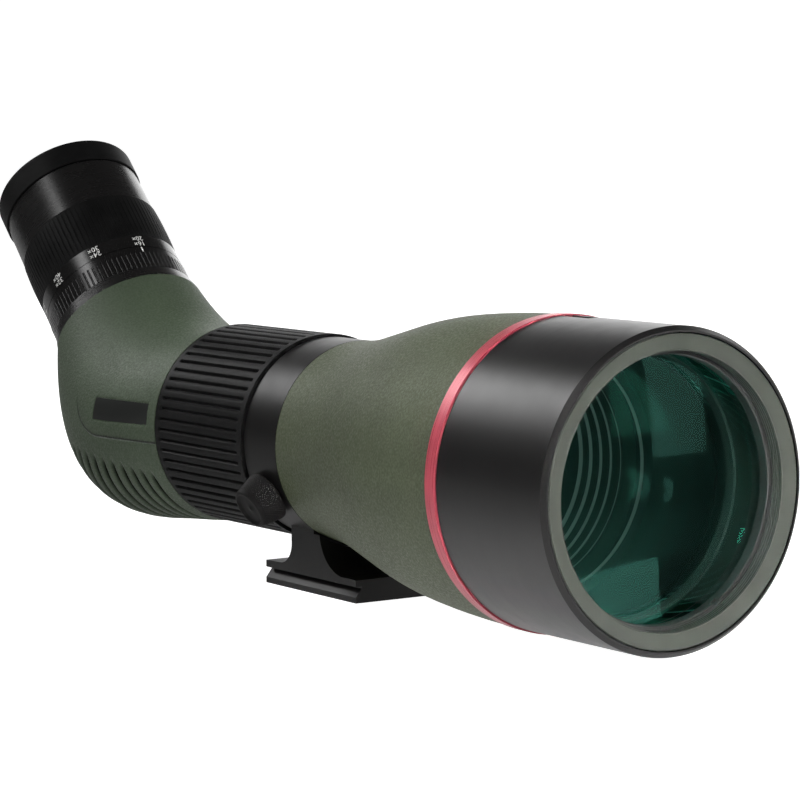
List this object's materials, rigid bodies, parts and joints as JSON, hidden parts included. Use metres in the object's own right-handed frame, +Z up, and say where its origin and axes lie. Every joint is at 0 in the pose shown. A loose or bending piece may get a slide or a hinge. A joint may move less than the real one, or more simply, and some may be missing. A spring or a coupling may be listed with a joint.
{
  "type": "spotting scope",
  "caption": "Angled spotting scope in green rubber armour with a sliding sunshade, ribbed focusing ring, zoom eyepiece and a rotating tripod collar with dovetail foot.",
  "frame": {"origin": "mouth of the tripod thread in the middle of the foot's base", "axes": "+X the way the objective looks, +Y left, +Z up; the optical axis is 51 mm above the base"},
  "size_m": [0.4016, 0.101, 0.1526],
  "materials": {
    "black_anodised": "satin black hard anodised",
    "inner_black": "matt black paint",
    "armour_green": "stippled soft olive green rubber",
    "red_anodised": "satin red anodised",
    "bezel_grey": "satin grey-green anodised",
    "badge_black": "blank black label",
    "grip_rubber": "matt black ribbed rubber",
    "coated_glass": "green anti-reflection coating",
    "steel": "bright steel",
    "nylon": "natural nylon",
    "felt": "black felt"
  },
  "bodies": {
    "mount": {"collar_and_foot": "black_anodised", "tripod_thread_insert": "steel", "collar_liner": "nylon"},
    "lock_pad": {"lock_pad": "nylon"},
    "lock_knob": {"lock_knob": "black_anodised", "lock_stud": "steel"},
    "scope": {"main_barrel": "inner_black", "front_armour": "armour_green", "red_trim_ring": "red_anodised", "collar_retaining_ring": "black_anodised", "objective_cell": "black_anodised", "cell_o_ring": "grip_rubber", "hood_friction_band": "felt", "front_bezel": "bezel_grey", "objective_retaining_ring": "inner_black", "objective_front_lens": "coated_glass", "objective_middle_lens": "coated_glass", "lens_spacer_ring": "inner_black", "objective_rear_lens": "coated_glass", "light_baffles": "inner_black", "prism_housing": "inner_black", "rear_armour": "armour_green", "badge_plate": "badge_black", "flange_screws": "steel", "schmidt_prism": "coated_glass", "prism_cage": "inner_black", "prism_clamp": "steel", "prism_clamp_screws": "steel", "eyepiece_base_ring": "black_anodised", "eyepiece_tube": "inner_black", "eyepiece_o_ring": "grip_rubber", "index_ring": "black_anodised", "field_lens_cell": "inner_black", "field_lens": "coated_glass", "field_stop": "inner_black", "eye_lens_cell": "inner_black", "eye_lens": "coated_glass"},
    "sunshade": {"sunshade_hood": "black_anodised"},
    "focus_ring": {"focus_grip": "grip_rubber", "focus_sleeve": "black_anodised"},
    "focus_carriage": {"focusing_cell": "inner_black", "focusing_lens": "coated_glass", "focusing_lens_ring": "inner_black", "focus_drive_pins": "steel"},
    "union_ring": {"union_ring": "black_anodised"},
    "zoom_ring": {"zoom_cam_tube": "black_anodised", "scale_ring": "black_anodised", "zoom_grip": "grip_rubber"},
    "zoom_front_group": {"zoom_front_cell": "inner_black", "zoom_front_lens": "coated_glass", "zoom_front_pins": "steel"},
    "zoom_rear_group": {"zoom_rear_cell": "inner_black", "zoom_rear_lens": "coated_glass", "zoom_rear_pins": "steel"},
    "eyecup_guide": {"eyecup_guide": "black_anodised"},
    "eyecup": {"eyecup_sleeve": "black_anodised", "eyecup_rubber": "grip_rubber"}
  },
  "joints": [
    {"name": "collar_rotation", "type": "hinge", "parent": "mount", "child": "scope", "pos_m": [0, 0, 0.051], "axis": [1, 0, 0], "continuous": true},
    {"name": "clamp_screw_advance", "type": "slide", "parent": "mount", "child": "lock_pad", "axis": [0, -0.8738, -0.4863], "range_m": [0, 0.0012]},
    {"name": "clamp_knob_turn", "type": "hinge", "parent": "lock_pad", "child": "lock_knob", "pos_m": [-0.008, 0, 0.051], "axis": [0, -0.8738, -0.4863], "range_deg": [0, 540]},
    {"name": "sunshade_slide", "type": "slide", "parent": "scope", "child": "sunshade", "axis": [1, 0, 0], "range_m": [0, 0.035]},
    {"name": "focus_turn", "type": "hinge", "parent": "scope", "child": "focus_ring", "pos_m": [-0.048, 0, 0.051], "axis": [1, 0, 0], "range_deg": [-270, 270]},
    {"name": "focus_carriage_slide", "type": "slide", "parent": "scope", "child": "focus_carriage", "axis": [1, 0, 0], "range_m": [-0.009, 0.009]},
    {"name": "union_ring_turn", "type": "hinge", "parent": "scope", "child": "union_ring", "pos_m": [-0.16437, 0, 0.08777], "axis": [-0.7071, 0, 0.7071], "range_deg": [0, 45]},
    {"name": "zoom_turn", "type": "hinge", "parent": "scope", "child": "zoom_ring", "pos_m": [-0.18063, 0, 0.10403], "axis": [-0.7071, 0, 0.7071], "range_deg": [0, 150]},
    {"name": "zoom_front_slide", "type": "slide", "parent": "scope", "child": "zoom_front_group", "axis": [-0.7071, 0, 0.7071], "range_m": [0, 0.005]},
    {"name": "zoom_rear_slide", "type": "slide", "parent": "scope", "child": "zoom_rear_group", "axis": [-0.7071, 0, 0.7071], "range_m": [-0.006, 0]},
    {"name": "eyecup_rise", "type": "slide", "parent": "scope", "child": "eyecup_guide", "axis": [-0.7071, 0, 0.7071], "range_m": [0, 0.009]},
    {"name": "eyecup_twist", "type": "hinge", "parent": "eyecup_guide", "child": "eyecup", "pos_m": [-0.19831, 0, 0.12171], "axis": [-0.7071, 0, 0.7071], "range_deg": [0, 120]}
  ],
  "couplings": [
    {"joint": "clamp_screw_advance", "follows": "clamp_knob_turn", "m_per_rad": 0.00012732},
    {"joint": "focus_carriage_slide", "follows": "focus_turn", "m_per_rad": 0.0019099},
    {"joint": "zoom_front_slide", "follows": "zoom_turn", "m_per_rad": 0.0019099},
    {"joint": "zoom_rear_slide", "follows": "zoom_turn", "m_per_rad": -0.0022918},
    {"joint": "eyecup_rise", "follows": "eyecup_twist", "m_per_rad": 0.0042972}
  ]
}
